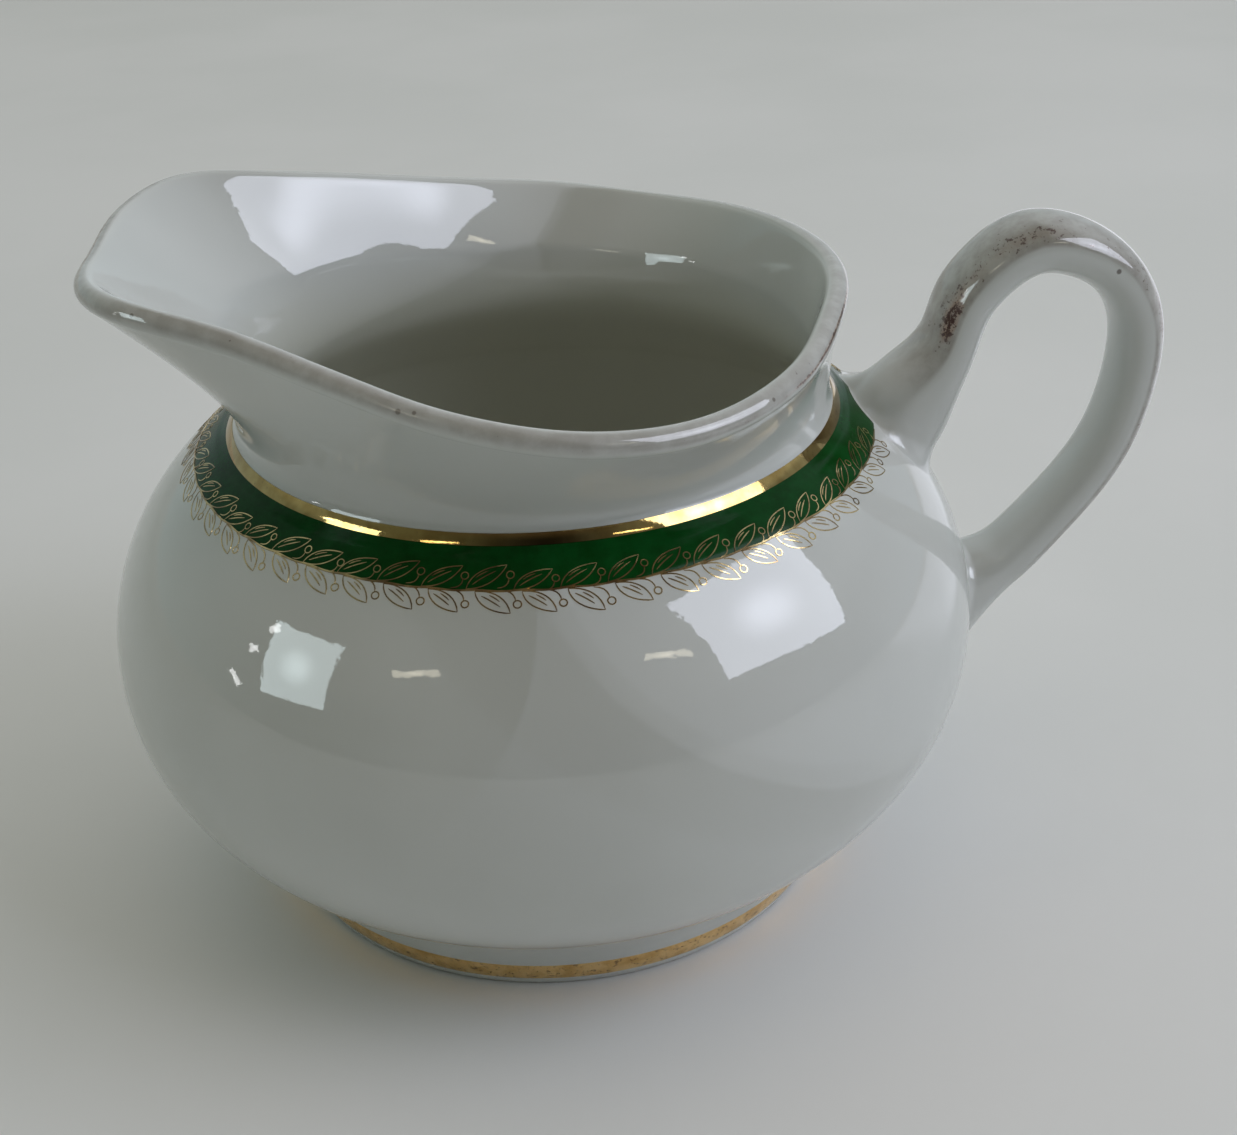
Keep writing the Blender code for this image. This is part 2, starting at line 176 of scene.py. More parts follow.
# Wreath: one repeat is a leaf and a berry on a stalk, on both sides of the stem; it starts and ends at an
# angle from the handle's middle
REPEATS = 53
WREATH_STARTS = 0.185
LINE_WIDTH = 0.19
LINE_TIP = 0.45
STEM_WIDTH = 0.24
STEM_WAVE = 0.05
BERRY_RADIUS = 0.36
LOWER_OFFSET = 0.8
LEAF_SCALES = (0.94, 1.05)
LEAF_TILT = 0.07
LEAF_NUDGE = 0.12

# Traces of gold on the lip: the strip's turns over the edge, then middle and reach of each mask in degrees,
# over the edge or round the rim, and how much of the gold each mask keeps
WORN_LIFT = 0.03
RIM_STRIP = (-12.0, 152.0)
RIM_FILM_TURN = (78.0, 62.0)
RIM_EDGE_TURN = (43.0, 8.0)
LIP_AROUND = (172.0, 22.0)
NEAR_HANDLE_AROUND = (-30.0, 24.0)
FAR_SIDE = (12.0, 172.0)
FILM_KEPT = 0.21
LIP_KEPT = 0.34
NEAR_HANDLE_KEPT = 0.72
FAR_SIDE_KEPT = 0.5

# Traces of gold on the handle: the stroke's ends along it, its half angle, how it fades at ends and sides,
# then middle and reach of each mask, along the handle from 0 to 1 or across the stroke from -1 to 1
STROKE = (0.1, 0.9)
STROKE_ANGLE = 78.0
STROKE_FADES = (0.1, 0.15, 0.12)
EDGE_ACROSS = (0.62, 0.3)
TOP_ALONG = (0.37, 0.09)
BEND_ALONG = (0.6, 0.12)
PATCH_ALONG = (0.262, 0.022)
PATCH_ACROSS = (-0.7, 0.13)
STAIN_ALONG = (0.262, 0.05)
STAIN_ACROSS = (-0.66, 0.3)
STROKE_KEPT = 0.25
EDGE_KEPT = 0.08
TOP_KEPT = 0.13
BEND_KEPT = 0.12
PATCH_KEPT = 0.27
STAIN_KEPT = 0.22

# Dark pinholes in the glaze: place and reach
PINHOLES = (
    (61.2, -4.7, 66.45, 0.36),
    (-36.0, -21.8, 74.1, 0.3),
    (-12.0, -34.3, 68.55, 0.34),
    (-10.6, -34.7, 68.5, 0.26),
    (21.5, -29.6, 65.45, 0.28),
)

# Mesh fineness
AROUND = 300
BELLY_STEPS = 64
CAVITY_STEPS = 44
NECK_STEPS = 24
RIM_STEPS = 14
CORNER_STEPS = 10
FLOOR_STEPS = 12
FLAT_STEPS = 6
FOOT_STEPS = 8
HANDLE_AROUND = 72
HANDLE_STATIONS = 200
STATION_COUNT = 401
SLIP_STEPS = 20
BAND_ROWS = 18
NECK_LINE_ROWS = 9
FOOT_LINE_ROWS = 7
STEM_POINTS = 420
BERRY_POINTS = 12
RIM_STRIP_TURNS = 23
STROKE_TURNS = 31
INSIDE_FADES = 12


# ---------------- curves and profiles


def hermite(start, start_slope, end, end_slope, s):
    """Cubic from start to end with the given slopes over s from 0 to 1."""
    s2, s3 = s * s, s * s * s
    ends = (2 * s3 - 3 * s2 + 1) * start + (3 * s2 - 2 * s3) * end
    return ends + (s3 - 2 * s2 + s) * start_slope + (s3 - s2) * end_slope


def hermite_rate(start, start_slope, end, end_slope, s):
    """Slope of that cubic at s."""
    s2 = s * s
    ends = (6 * s2 - 6 * s) * (start - end)
    return ends + (3 * s2 - 4 * s + 1) * start_slope + (3 * s2 - 2 * s) * end_slope


def through(knots, at):
    """Smooth curve through knots (position, value...), evaluated at a position."""
    last = len(knots) - 1
    i = 0
    while i < last - 1 and knots[i + 1][0] < at:
        i += 1
    before, a = knots[max(i - 1, 0)], knots[i]
    b, after = knots[i + 1], knots[min(i + 2, last)]
    span = b[0] - a[0]
    s = (at - a[0]) / span
    values = []
    for k in range(1, len(a)):
        slope_a = (b[k] - before[k]) / (b[0] - before[0]) * span
        slope_b = (after[k] - a[k]) / (after[0] - a[0]) * span
        values.append(hermite(a[k], slope_a, b[k], slope_b, s))
    return np.array(values)


def softened(curve, at, reach):
    """The curve averaged over a short reach, so that its bending changes smoothly."""
    weights = (1, 4, 6, 4, 1)
    steps = (-1.0, -0.5, 0.0, 0.5, 1.0)
    total = sum(w * curve(at + step * reach) for w, step in zip(weights, steps))
    return total / sum(weights)


def superellipse(z, radius, rise, drop):
    """Radius at height z of a belly with the given half height above and below its widest ring."""
    half = np.where(z > BELLY_Z, rise, drop)
    share = np.minimum(np.abs(z - BELLY_Z) / half, 1.0)
    return radius * (1.0 - share**FULLNESS) ** (1.0 / FULLNESS)


def belly_radius(z):
    return superellipse(z, BELLY_RADIUS, BELLY_RISE, BELLY_DROP)


def cavity_radius(z):
    inner = BELLY_RADIUS - BELLY_WALL
    return superellipse(z, inner, BELLY_RISE - BELLY_WALL, BELLY_DROP - BELLY_WALL)


def arc(start, corner, end, steps):
    """Points (radius, height) of a rounded corner, with both ends."""
    s = np.linspace(0.0, 1.0, steps + 1)[:, None]
    start, corner, end = map(np.array, (start, corner, end))
    return (1 - s) ** 2 * start + 2 * s * (1 - s) * corner + s * s * end


def bezier(a, b, c, d, steps):
    s = np.linspace(0.0, 1.0, steps + 1)[:, None]
    a, b, c, d = map(np.array, (a, b, c, d))
    return (1 - s) ** 3 * a + 3 * s * (1 - s) ** 2 * b + 3 * s * s * (1 - s) * c + s**3 * d


def hill(at, middle, reach, power=2):
    """A mask that is 1 in the middle and dies away over its reach."""
    return np.exp(-(((at - middle) / reach) ** power))


def spread(low, high, steps):
    """Heights from low to high, closer together at both ends."""
    swing = np.cos(np.pi * np.arange(steps + 1) / steps)
    return (low + high) / 2 - (high - low) / 2 * swing


def turned_outside():
    """Fine outer profile, bottom to top: foot ring, belly, shoulder and the turn into the neck."""
    foot_edge, foot_top = (FOOT_OUTER, 0.0), (FOOT_TOP_RADIUS, FOOT_TOP_Z)
    belly_foot = (float(belly_radius(BELLY_START_Z)), BELLY_START_Z)
    waist = np.add((FOOT_TOP_RADIUS, BELLY_START_Z), FOOT_TOP_CORNER)
    heights = spread(BELLY_START_Z, SHOULDER_TOP_Z, BELLY_STEPS)
    shoulder = (float(belly_radius(SHOULDER_TOP_Z)), SHOULDER_TOP_Z)
    neck = (NECK_RADIUS, NECK_Z)
    parts = [
        arc(foot_edge, np.add(foot_edge, FOOT_EDGE_CORNER), foot_top, CORNER_STEPS),
        arc(foot_top, waist, belly_foot, FOOT_STEPS)[1:],
        np.stack([belly_radius(heights), heights], 1)[1:],
        arc(shoulder, np.add(neck, NECK_CORNER), neck, CORNER_STEPS)[1:],
    ]
    return np.concatenate(parts)


def turned_inside():
    """Fine inner profile, from the floor's middle to the foot of the neck."""
    wall_foot = (float(cavity_radius(CAVITY_START_Z)), CAVITY_START_Z)
    corner = (wall_foot[0] - FLOOR_CORNER, FLOOR_Z)
    heights = spread(CAVITY_START_Z, CAVITY_TOP_Z, CAVITY_STEPS)
    inner_neck = (NECK_RADIUS - NECK_WALL, NECK_Z)
    top = (float(cavity_radius(CAVITY_TOP_Z)), CAVITY_TOP_Z)
    parts = [
        [(r, FLOOR_Z) for r in np.linspace(0.0, FLOOR_FLAT, FLAT_STEPS + 1)[1:]],
        arc((FLOOR_FLAT, FLOOR_Z), corner, wall_foot, FLOOR_STEPS)[1:],
        np.stack([cavity_radius(heights), heights], 1)[1:],
        arc(top, np.add(inner_neck, INNER_NECK_CORNER), inner_neck, CORNER_STEPS)[1:],
    ]
    return np.concatenate(parts)


def underside():
    """Recessed underside, from its middle to the standing face's inner edge."""
    edge = (FOOT_INNER, 0.0)
    start = (FOOT_INNER - UNDERSIDE_REACH, UNDERSIDE_Z)
    rounded = arc(start, (FOOT_INNER - UNDERSIDE_CORNER, UNDERSIDE_Z), edge, FOOT_STEPS)
    flat = [(r, UNDERSIDE_Z) for r in np.linspace(0.0, start[0], FLAT_STEPS + 2)[1:-1]]
    return np.concatenate([flat, rounded])


# The outer profile as a road from the stem of the wreath: distance, radius, height and outward normal
ROAD = turned_outside()
ROAD_STEP = np.diff(ROAD, axis=0)
ROAD_S = np.concatenate([[0.0], np.cumsum(np.hypot(*ROAD_STEP.T))])
ROAD_SLOPE = np.gradient(ROAD, ROAD_S, axis=0)
STEM_S = float(np.interp(STEM_Z, ROAD[:, 1], ROAD_S))
STEM_RADIUS = float(np.interp(STEM_Z, ROAD[:, 1], ROAD[:, 0]))


def on_outside(distance, lift):
    """Radius and height of a point at a distance above the wreath's stem, lifted off the glaze."""
    at = STEM_S + distance
    r, z = (np.interp(at, ROAD_S, ROAD[:, k]) for k in (0, 1))
    slope_r, slope_z = (np.interp(at, ROAD_S, ROAD_SLOPE[:, k]) for k in (0, 1))
    length = np.hypot(slope_r, slope_z)
    return r + lift * slope_z / length, z - lift * slope_r / length


def road_distance(z):
    """How far a height on the outer profile lies above the wreath's stem."""
    return float(np.interp(z, ROAD[:, 1], ROAD_S)) - STEM_S


# ---------------- the pulled mouth


def rim_curve(degrees):
    """Radius and height of the rim at an azimuth, the same on both sides of the jug."""
    first = (-RIM[1][0], *RIM[1][1:])
    last = (360 - RIM[-2][0], *RIM[-2][1:])
    degrees = abs((degrees + 180.0) % 360.0 - 180.0)
    return through((first, *RIM, last), degrees)


AZIMUTHS = 2 * np.pi * np.arange(AROUND) / AROUND
RIM_R, RIM_Z = np.array([softened(rim_curve, math.degrees(a), RIM_SOFTENED) for a in AZIMUTHS]).T


def mouth(f):
    """The neck's outer surface at f from 0 at the shoulder to 1 at the rim: point, tangent and stretch."""
    flare, climb = RIM_R - NECK_RADIUS, RIM_Z - NECK_Z
    across = (NECK_RADIUS, -(NECK_PINCH * climb + FLARE_PINCH * flare), RIM_R, LIP_FLARE * flare + LIP_TURN)
    up = (NECK_Z, NECK_CLIMB * climb, RIM_Z, LIP_CLIMB * climb)
    point = np.stack([hermite(*across, f), hermite(*up, f)], 1)
    rate = np.stack([hermite_rate(*across, f), hermite_rate(*up, f)], 1)
    stretch = np.linalg.norm(rate, axis=1)
    return point, rate / stretch[:, None], stretch


def wall_normal(tangent):
    return np.stack([tangent[:, 1], -tangent[:, 0]], 1)


def rim_frame():
    """Centre, outward and upward directions of the rounded rim at every azimuth."""
    stretch = mouth(1.0)[2]
    end = 1.0 - NECK_WALL / 2 / stretch
    point, tangent, _ = mouth(end)
    normal = wall_normal(tangent)
    return point - NECK_WALL / 2 * normal, normal, tangent, end


def rim_point(turn, lift=0.0):
    """The rim's rounded edge at a turn in radians: 0 faces outwards, pi inwards."""
    centre, normal, tangent, _ = rim_frame()
    power = 2.0 / RIM_SQUARENESS
    out = math.copysign(abs(math.cos(turn)) ** power, math.cos(turn))
    top = math.copysign(abs(math.sin(turn)) ** power, math.sin(turn))
    reach = NECK_WALL / 2 + lift
    return centre + reach * (out * normal + top * tangent)


def eased(rows):
    """The rows with the throat's bend between cavity and funnel spread out smoothly."""
    rows = np.array(rows)
    heights = rows[:, 0, 1]
    first, last = np.searchsorted(heights, THROAT)
    for _ in range(THROAT_ROUNDS):
        bend = rows[first - 1 : last - 1] - 2 * rows[first:last] + rows[first + 1 : last + 1]
        rows[first:last] += THROAT_EASE * bend
    return list(rows)


def ring(r, z):
    """One radius and height at every azimuth."""
    return np.tile([float(r), float(z)], (AROUND, 1))


def body_rows():
    """Rows of (radius, height) around the body, from inside over the rim and down to the underside."""
    end = rim_frame()[3]
    inside = [ring(r, z) for r, z in turned_inside()]
    outside = [ring(r, z) for r, z in turned_outside()[::-1]]
    below = [ring(r, z) for r, z in underside()[::-1]]
    outer_neck, inner_neck = [], []
    for share in np.linspace(0.0, 1.0, NECK_STEPS + 1)[1:]:
        point, tangent, _ = mouth(share * end)
        settled = np.minimum(share * end / WALL_SETTLES, 1.0)
        inward = wall_normal(tangent) * settled[:, None] + (1 - settled[:, None]) * np.array([1.0, 0.0])
        outer_neck.append(point)
        inner_neck.append(point - NECK_WALL * inward)
    rim = [rim_point(turn) for turn in np.linspace(math.pi, 0.0, RIM_STEPS + 1)[1:-1]]
    return eased(inside + inner_neck) + rim + outer_neck[::-1] + outside + below


# ---------------- mesh helpers


def placed(rows):
    """Rows of (radius, height) at every azimuth as points in millimetres."""
    rows = np.asarray(rows)
    x, y = rows[..., 0] * np.cos(AZIMUTHS), rows[..., 0] * np.sin(AZIMUTHS)
    return np.stack([x, y, rows[..., 1]], -1)


def grid_faces(rows, count, wrap_rows=False):
    """Quads between rows of points that follow one another, each row closed into a loop."""
    index = np.arange(rows * count).reshape(rows, count)
    if wrap_rows:
        index = np.concatenate([index, index[:1]])
    index = np.concatenate([index, index[:, :1]], 1)
    corners = (index[:-1, :-1], index[:-1, 1:], index[1:, 1:], index[1:, :-1])
    return np.stack([c.ravel() for c in corners], 1).tolist()


def tube_faces(rows, count):
    """Those quads with a face over each end."""
    last = (rows - 1) * count
    return grid_faces(rows, count) + [list(range(count))[::-1], list(range(last, last + count))]


def outward(points, faces):
    """The faces, turned round if they enclose their volume inside out."""
    triangles = [(f[0], f[i], f[i + 1]) for f in faces for i in range(1, len(f) - 1)]
    a, b, c = (points[[t[k] for t in triangles]] for k in range(3))
    volume = np.einsum("ij,ij->i", a, np.cross(b, c)).sum()
    return faces if volume > 0 else [f[::-1] for f in faces]


def solid(name, points, faces):
    """A closed mesh object from points in millimetres, put in the frame's place."""
    mesh = bpy.data.meshes.new(name)
    here = points * MM + np.array([AXIS_X, 0.0, 0.0])
    mesh.from_pydata(here.tolist(), [], outward(points, faces))
    made = bpy.data.objects.new(name, mesh)
    bpy.context.scene.collection.objects.link(made)
    return made


def piece(name, points, faces, look, node, sharp=40.0):
    """A piece of the jug that stands for a node of the frame and rides on the root body."""
    made = solid(name, points, faces)
    made.data.validate()
    made.data.shade_smooth()
    made.data.set_sharp_from_angle(angle=math.radians(sharp))
    made.data.materials.append(look)
    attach(made, "root")
    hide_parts(node)
    return made


def keep_values(made, name, values):
    """Store one number per vertex for the material to read."""
    layer = made.data.attributes.new(name, "FLOAT", "POINT")
    layer.data.foreach_set("value", np.asarray(values, np.float32).ravel())


def ring_shell(outer, inner):
    """A closed thin shell all the way round, from its outer and inner rows."""
    grid = placed(list(outer) + list(inner)[::-1])
    return grid.reshape(-1, 3), grid_faces(len(grid), AROUND, wrap_rows=True)


# ---------------- body, handle and slip


def solid_tree(points, faces):
    """A search tree over a closed mesh whose normals point outwards."""
    return BVHTree.FromPolygons(points.tolist(), outward(points, faces))


def build_body(look):
    """The hollow body in one closed skin; its material reads which part of it is the inside, where it paints
    shade.
    """
    grid = placed(body_rows())
    rows = len(grid)
    points = grid.reshape(-1, 3)
    faces = grid_faces(rows, AROUND)
    last = (rows - 1) * AROUND
    for i in range(AROUND):
        j = (i + 1) % AROUND
        faces.append([len(points), j, i])
        faces.append([len(points) + 1, last + i, last + j])
    poles = np.array([[0.0, 0.0, FLOOR_Z], [0.0, 0.0, UNDERSIDE_Z]])
    points = np.concatenate([points, poles])
    body = piece("jug_body_glazed", points, faces, look, "jug_body")
    # Mask for the painted shade inside: 1 in the cavity, fading out up the inner neck
    inside = np.zeros(rows)
    cavity_rows = len(turned_inside())
    inside[:cavity_rows] = 1.0
    inside[cavity_rows : cavity_rows + INSIDE_FADES] = np.linspace(1.0, 0.0, INSIDE_FADES)
    keep_values(body, "inside", np.concatenate([np.repeat(inside, AROUND), [1.0, 0.0]]))
    return solid_tree(points, faces)


def handle_knots(at):
    knots = [(i, *row) for i, row in enumerate(HANDLE)]
    return through(knots, min(max(at, 0.0), len(HANDLE) - 1.0))


def handle_station(t):
    """Centre, tangent, half thickness and half width at t from 0 (upper root) to 1."""
    at = t * (len(HANDLE) - 1)
    x, z, thick, wide = softened(handle_knots, at, HANDLE_SOFTENED)
    ahead = softened(handle_knots, at + HANDLE_PROBE, HANDLE_SOFTENED)
    behind = softened(handle_knots, at - HANDLE_PROBE, HANDLE_SOFTENED)
    tangent = (ahead - behind)[:2]
    return (x, z), tangent / np.linalg.norm(tangent), thick, wide


def section_point(station, angle, grow=0.0):
    """A point of the handle's rounded section; angle 0 faces away from the loop."""
    (x, z), (tx, tz), thick, wide = station
    c, s = math.cos(angle), math.sin(angle)
    power = 2.0 / HANDLE_SQUARENESS
    out = (thick + grow) * math.copysign(abs(c) ** power, c)
    side = (wide + grow) * math.copysign(abs(s) ** power, s)
    return np.array([x - tz * out, side, z + tx * out])


STATION_T = np.linspace(0.0, 1.0, STATION_COUNT)
STATIONS = [handle_station(t) for t in STATION_T]
HANDLE_ANGLES = 2 * np.pi * np.arange(HANDLE_AROUND) / HANDLE_AROUND


def side_line(angle):
    """The handle's surface along one angle, a point for each station."""
    return np.array([section_point(station, angle) for station in STATIONS])


def meets_body(line, tree, towards_upper):
    """Where a side line enters the body: position along the stations, point and body normal."""
    middle = len(line) // 2
    order = range(middle, 0, -1) if towards_upper else range(middle, len(line) - 1)
    step = -1 if towards_upper else 1
    for i in order:
        start, leap = Vector(line[i]), Vector(line[i + step] - line[i])
        point, normal, _, distance = tree.ray_cast(start, leap.normalized(), leap.length)
        if point is not None:
            return i + step * distance / leap.length, np.array(point), np.array(normal)
    return float(order[-1]), line[order[-1]], np.array([0.0, 0.0, 1.0])


def along(line, at):
    """Point on a side line at a fractional station."""
    at = min(max(at, 0.0), len(line) - 1.0)
    i = min(int(at), len(line) - 2)
    return line[i] + (at - i) * (line[i + 1] - line[i])


def walked(line, at, distance, step):
    """The fractional station that lies a distance further from the body."""
    done = 0.0
    here = along(line, at)
    while done < distance:
        at += STRIDE * step
        there = along(line, at)
        done += np.linalg.norm(there - here)
        here = there
    return at


def build_handle(tree, look):
    """The loop handle, ending just inside the body's wall."""
    lines = [side_line(a) for a in HANDLE_ANGLES]
    upper = [meets_body(line, tree, True) for line in lines]
    lower = [meets_body(line, tree, False) for line in lines]
    shares = np.linspace(0.0, 1.0, HANDLE_STATIONS)
    grid = np.zeros((HANDLE_STATIONS, HANDLE_AROUND, 3))
    for k, line in enumerate(lines):
        first, last = upper[k][0] - ROOT_SUNK, lower[k][0] + ROOT_SUNK
        grid[:, k] = [along(line, first + (last - first) * s) for s in shares]
    points, faces = grid.reshape(-1, 3), tube_faces(HANDLE_STATIONS, HANDLE_AROUND)
    piece("handle_glazed", points, faces, look, "handle")
    return solid_tree(points, faces), lines, upper, lower


def slip_reach(slip, angle):
    """How far the slip reaches at an angle round the section, between its eight values."""
    at = angle / (2 * math.pi) * len(slip) % len(slip)
    i = int(at)
    share = (1 - math.cos(math.pi * (at - i))) / 2
    return slip[i] + share * (slip[(i + 1) % len(slip)] - slip[i])


def nearest(tree, point):
    """The closest point of a solid's surface, with the outward normal there."""
    foot, normal, _, _ = tree.find_nearest(Vector(point))
    return np.array(foot), np.array(normal)


def clear_of(point, tree):
    """The point, lifted just clear of a solid's surface if it lies under it."""
    foot, normal, _, apart = tree.find_nearest(Vector(point))
    height = (Vector(point) - foot).dot(normal)
    under = height <= SLIP_SKIN and apart <= abs(height) + SLIP_SKIN
    return np.array(foot + SLIP_SKIN * normal) if under else point


def build_fillet(name, node, lines, meets, slip, step, trees, look):
    """The smoothed slip that leads the handle into the body."""
    body_tree, handle_tree = trees
    grid = []
    for angle, line, (at, corner, normal) in zip(HANDLE_ANGLES, lines, meets):
        over_body, up_handle = (slip_reach(row, angle) for row in slip)
        top = walked(line, at, up_handle, step)
        start = along(line, top)
        down = along(line, top - 0.5 * step) - start
        down /= np.linalg.norm(down)
        station = STATIONS[int(round(min(max(at, 0), len(STATIONS) - 1)))]
        face = section_point(station, angle, 1.0) - section_point(station, angle)
        away = face - face.dot(normal) * normal
        away /= np.linalg.norm(away)
        near, up = nearest(body_tree, corner + SLIP_HUG * over_body * away)
        near = near + SLIP_RISE * over_body * up
        end, up = nearest(body_tree, corner + over_body * away)
        end = end - SLIP_SUNK * up
        leaving = start + (1 - SLIP_HUG) * np.linalg.norm(corner - start) * down
        curve = bezier(start, leaving, near, end, SLIP_STEPS)
        curve[1:-2] = [clear_of(clear_of(p, handle_tree), body_tree) for p in curve[1:-2]]
        under = end - SLIP_INSET * (up + 2 * away)
        inner = corner - 2 * SLIP_INSET * (normal + face)
        grid.append([*curve, under, inner, start - SLIP_INSET * face])
    grid = np.array(grid)
    faces = grid_faces(*grid.shape[:2], wrap_rows=True)
    piece(name, grid.reshape(-1, 3), faces, look, node, sharp=60.0)


# ---------------- enamel and gold


def layer_rows(low, high, lift, rows):
    """Rows of a fired layer between two heights, thinning out at both edges."""
    distances = np.linspace(road_distance(low), road_distance(high), rows)
    ends = np.minimum(np.arange(rows), np.arange(rows)[::-1])
    lifts = np.where(ends == 0, 0.0, np.where(ends == 1, LAYER_EDGE * lift, lift))
    outer = [ring(*on_outside(distance, up)) for distance, up in zip(distances, lifts)]
    inner = [ring(*on_outside(distance, -SUNK)) for distance in distances]
    return outer, inner


def root_cutter():
    """A solid a little fatter than the handle's upper root."""
    stations = STATIONS[: len(STATIONS) // 4 : 4]
    grid = np.array([[section_point(s, a, ROOT_CLEARANCE) for a in HANDLE_ANGLES[::2]] for s in stations])
    return solid("root_cutter", grid.reshape(-1, 3), tube_faces(*grid.shape[:2]))


def cut_away(made, cutter):
    """Take the cutter out of a piece and keep the result as its mesh."""
    step = made.modifiers.new("root", "BOOLEAN")
    step.object = cutter
    step.operation = "DIFFERENCE"
    step.solver = "EXACT"
    graph = bpy.context.evaluated_depsgraph_get()
    mesh = bpy.data.meshes.new_from_object(made.evaluated_get(graph))
    made.modifiers.clear()
    made.data = mesh


def build_band(cutter, look):
    points, faces = ring_shell(*layer_rows(STEM_Z, BAND_TOP_Z, ENAMEL_LIFT, BAND_ROWS))
    cut_away(piece("green_band_fired", points, faces, look, "green_enamel_band"), cutter)


def build_neck_line(cutter, look):
    """The thick gold line that bridges the turn from shoulder to neck."""
    low, high = road_distance(BAND_TOP_Z - NECK_LINE_LAP), road_distance(GILT_TOP_Z)
    start, end = (np.array(on_outside(d, ENAMEL_LIFT)) for d in (low, high))
    across = end - start
    away = np.array([across[1], -across[0]]) / np.hypot(*across)
    shares = np.linspace(0.0, 1.0, NECK_LINE_ROWS)
    outer = [ring(*(start + s * across + 4 * s * (1 - s) * NECK_LINE_BULGE * away)) for s in shares]
    inner = [ring(*on_outside(low + s * (high - low), -SUNK)) for s in shares]
    points, faces = ring_shell(outer, inner)
    cut_away(piece("neck_line_gold", points, faces, look, "gilt_neck_line"), cutter)


def build_foot_line(look):
    points, faces = ring_shell(*layer_rows(*FOOT_LINE, GILT_LIFT, FOOT_LINE_ROWS))
    piece("foot_line_gold", points, faces, look, "gilt_foot_line")


def berry(centre, start, lean):
    """A ring on a curled stalk, as strokes in millimetres along and above the stem."""
    turns = 2 * np.pi * np.arange(BERRY_POINTS) / BERRY_POINTS
    fruit = np.array(centre) + BERRY_RADIUS * np.stack([np.cos(turns), np.sin(turns)], 1)
    side = -1.0 if centre[1] > 0 else 1.0
    foot = (centre[0] - 0.15, centre[1] + side * BERRY_RADIUS)
    stalk = bezier(start, (start[0] + lean, start[1]), (foot[0], foot[1] + side * 0.35), foot, 5)
    return [(fruit, True), (stalk, False)]


def upper_unit():
    """Strokes of one repeat above the stem."""
    tip = (3.8, 2.3)
    back = bezier((0.1, 0.1), (0.5, 1.9), (2.4, 2.25), tip, 9)
    belly = bezier((0.1, 0.1), (1.7, 0.05), (3.1, 0.95), tip, 9)
    vein = bezier((0.65, 0.5), (1.2, 0.95), (1.9, 1.4), (2.75, 1.75), 5)
    second = bezier((0.95, 1.15), (1.2, 1.4), (1.6, 1.65), (2.1, 1.8), 3)
    leaf = [(line, False) for line in (back, belly, vein, second)]
    return leaf + berry((4.1, 1.32), (2.9, 0.1), 0.9)


def lower_unit():
    """Strokes of one repeat below the stem."""
    tip = (3.1, -2.3)
    back = bezier((0.0, -0.1), (1.5, 0.05), (2.9, -0.75), tip, 9)
    belly = bezier((0.0, -0.1), (0.2, -1.5), (1.7, -2.2), tip, 9)
    vein = bezier((0.6, -0.55), (1.1, -0.8), (1.7, -1.2), (2.25, -1.65), 5)
    second = bezier((1.3, -0.5), (1.6, -0.65), (1.9, -0.85), (2.2, -1.15), 3)
    leaf = [(line, False) for line in (back, belly, vein, second)]
    return leaf + berry((3.75, -1.5), (2.3, -0.08), 1.0)


def ribbon(stroke, closed, width, lift):
    """A slightly crowned gold ribbon along a stroke on the shoulder."""
    ahead = np.roll(stroke, -1, 0) - np.roll(stroke, 1, 0)
    thin = np.ones(len(stroke))
    if not closed:
        ahead[0], ahead[-1] = stroke[1] - stroke[0], stroke[-1] - stroke[-2]
        thin[0] = thin[-1] = LINE_TIP
    across = np.stack([-ahead[:, 1], ahead[:, 0]], 1)
    across /= np.linalg.norm(across, axis=1)[:, None]
    grid = []
    for share, up in ((-0.5, -SUNK), (-0.3, lift), (0.3, lift), (0.5, -SUNK)):
        u, v = (stroke + across * (share * width * thin)[:, None]).T
        r, z = on_outside(v, up)
        azimuth = u / STEM_RADIUS
        grid.append(np.stack([r * np.cos(azimuth), r * np.sin(azimuth), z], 1))
    grid = np.stack(grid, 1)
    rows, count = grid.shape[:2]
    faces = grid_faces(rows, count, wrap_rows=True) if closed else tube_faces(rows, count)
    points = grid.reshape(-1, 3)
    return points, outward(points - points.mean(0), faces)


def wreath_strokes():
    """Stem, leaves and berries as (stroke, closed, width, lift), without what the handle's root covers."""
    around = 2 * np.pi * STEM_RADIUS
    pitch = around / REPEATS
    limit = WREATH_STARTS * STEM_RADIUS
    units = ((upper_unit(), 0.0, ENAMEL_LIFT), (lower_unit(), LOWER_OFFSET, 0.0))
    strokes = []
    for i in range(REPEATS):
        for unit, offset, ground in units:
            scale = RANDOM.uniform(*LEAF_SCALES)
            tilt = RANDOM.uniform(-LEAF_TILT, LEAF_TILT)
            nudge = RANDOM.uniform(-LEAF_NUDGE, LEAF_NUDGE)
            turn = np.array([[math.cos(tilt), math.sin(tilt)], [-math.sin(tilt), math.cos(tilt)]])
            for stroke, closed in unit:
                moved = stroke @ turn * scale + np.array([i * pitch + offset + nudge, 0.0])
                if limit < moved[:, 0].min() and moved[:, 0].max() < around - limit:
                    strokes.append((moved, closed, LINE_WIDTH, ground + GILT_LIFT))
    along_stem = np.linspace(limit, around - limit, STEM_POINTS)
    stem = np.stack([along_stem, STEM_WAVE * np.sin(2 * np.pi * along_stem / pitch)], 1)
    return strokes + [(stem, False, STEM_WIDTH, ENAMEL_LIFT + GILT_LIFT)]


def build_wreath(look):
    points, faces, count = [], [], 0
    for stroke in wreath_strokes():
        these, those = ribbon(*stroke)
        points.append(these)
        faces += [[i + count for i in face] for face in those]
        count += len(these)
    piece("leaf_wreath_gold", np.concatenate(points), faces, look, "gilt_leaf_wreath")


def worn_lifts(count):
    """A worn strip's height over the glaze, down to nothing at both edges."""
    return [0.0] + [WORN_LIFT] * (count - 2) + [0.0]


